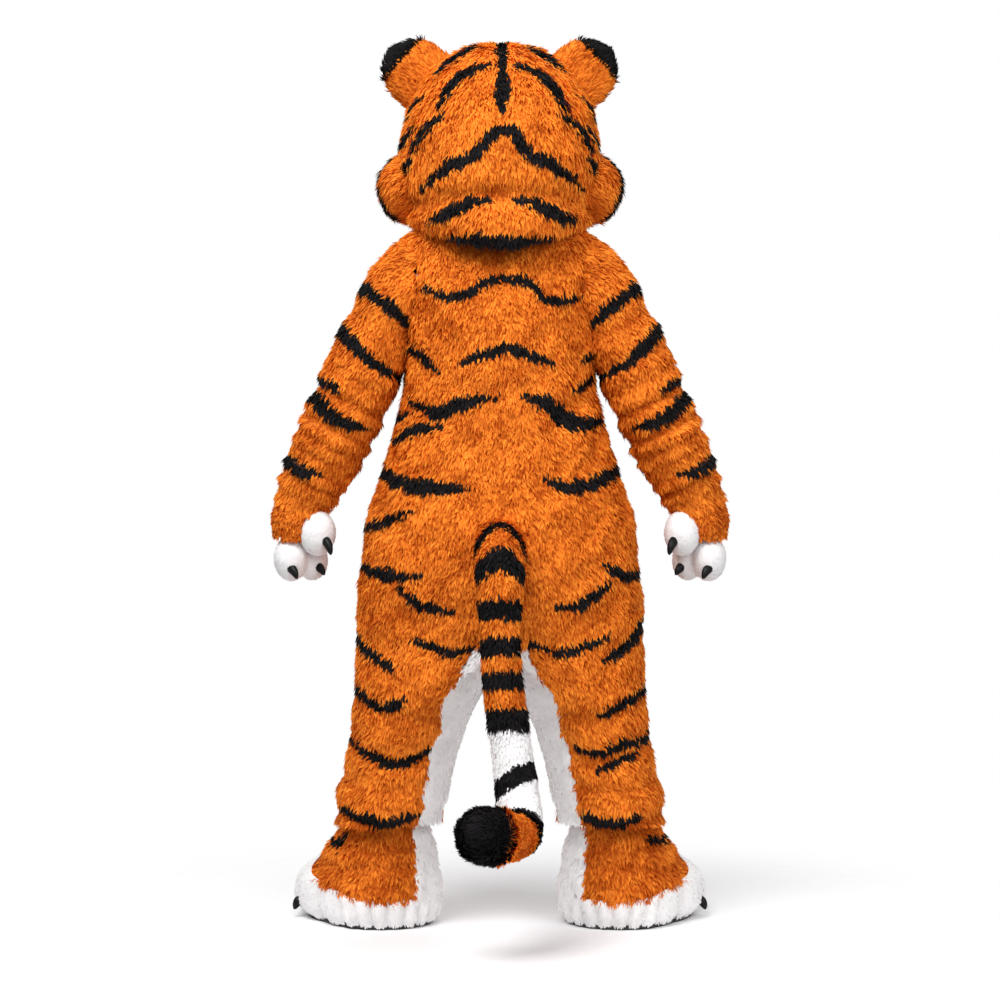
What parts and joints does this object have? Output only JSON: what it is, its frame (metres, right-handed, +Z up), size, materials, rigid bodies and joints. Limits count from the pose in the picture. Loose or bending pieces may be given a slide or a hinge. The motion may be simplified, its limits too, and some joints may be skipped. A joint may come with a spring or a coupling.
{
  "type": "mascot costume",
  "caption": "Plush tiger mascot costume filled out as worn: a hollow head, a body suit with sleeves, legs and a stuffed tail, padded paws and wide furry boots",
  "frame": {"origin": "Between the wearer's shoulders, 1.44 m above the soles, where the wearer carries the costume", "axes": "+Z up, the costume faces -Y, +X is the wearer's left"},
  "size_m": [0.9778, 0.8017, 1.8809],
  "materials": {
    "orange_fur": "long-pile plush with black stripes",
    "white_fur": "plush",
    "black_fur": "long-pile plush",
    "claw": "glossy",
    "eye": "glossy",
    "sole": "matt"
  },
  "bodies": {
    "root": {"back_left": "orange_fur", "back_right": "orange_fur", "belly": "white_fur", "cheek_left": "orange_fur", "cheek_right": "orange_fur", "chin": "white_fur", "ear_left": "orange_fur", "ear_right": "orange_fur", "ear_tip_left": "black_fur", "ear_tip_right": "black_fur", "eye_left": "eye", "eye_right": "eye", "face": "orange_fur", "fingers_left": "white_fur", "fingers_right": "white_fur", "foot_left": "white_fur", "foot_right": "white_fur", "front_left": "orange_fur", "front_right": "orange_fur", "head_back_left": "orange_fur", "head_back_right": "orange_fur", "inner_leg_left": "white_fur", "inner_leg_right": "white_fur", "leg_left": "orange_fur", "leg_right": "orange_fur", "mitt_left": "orange_fur", "mitt_right": "orange_fur", "muzzle": "white_fur", "nose": "claw", "paw_claw_left_front": "claw", "paw_claw_left_middle": "claw", "paw_claw_left_outer": "claw", "paw_claw_left_thumb": "claw", "paw_claw_right_front": "claw", "paw_claw_right_middle": "claw", "paw_claw_right_outer": "claw", "paw_claw_right_thumb": "claw", "sleeve_left": "orange_fur", "sleeve_right": "orange_fur", "sole_left": "sole", "sole_right": "sole", "tail_band": "orange_fur", "tail_lower": "white_fur", "tail_tip": "black_fur", "tail_upper": "orange_fur", "thumb_left": "white_fur", "thumb_right": "white_fur", "toe_claw_left_1": "claw", "toe_claw_left_2": "claw", "toe_claw_left_3": "claw", "toe_claw_left_4": "claw", "toe_claw_right_1": "claw", "toe_claw_right_2": "claw", "toe_claw_right_3": "claw", "toe_claw_right_4": "claw", "upper_inner_left": "white_fur", "upper_inner_right": "white_fur", "upper_left": "orange_fur", "upper_right": "orange_fur"}
  },
  "joints": []
}
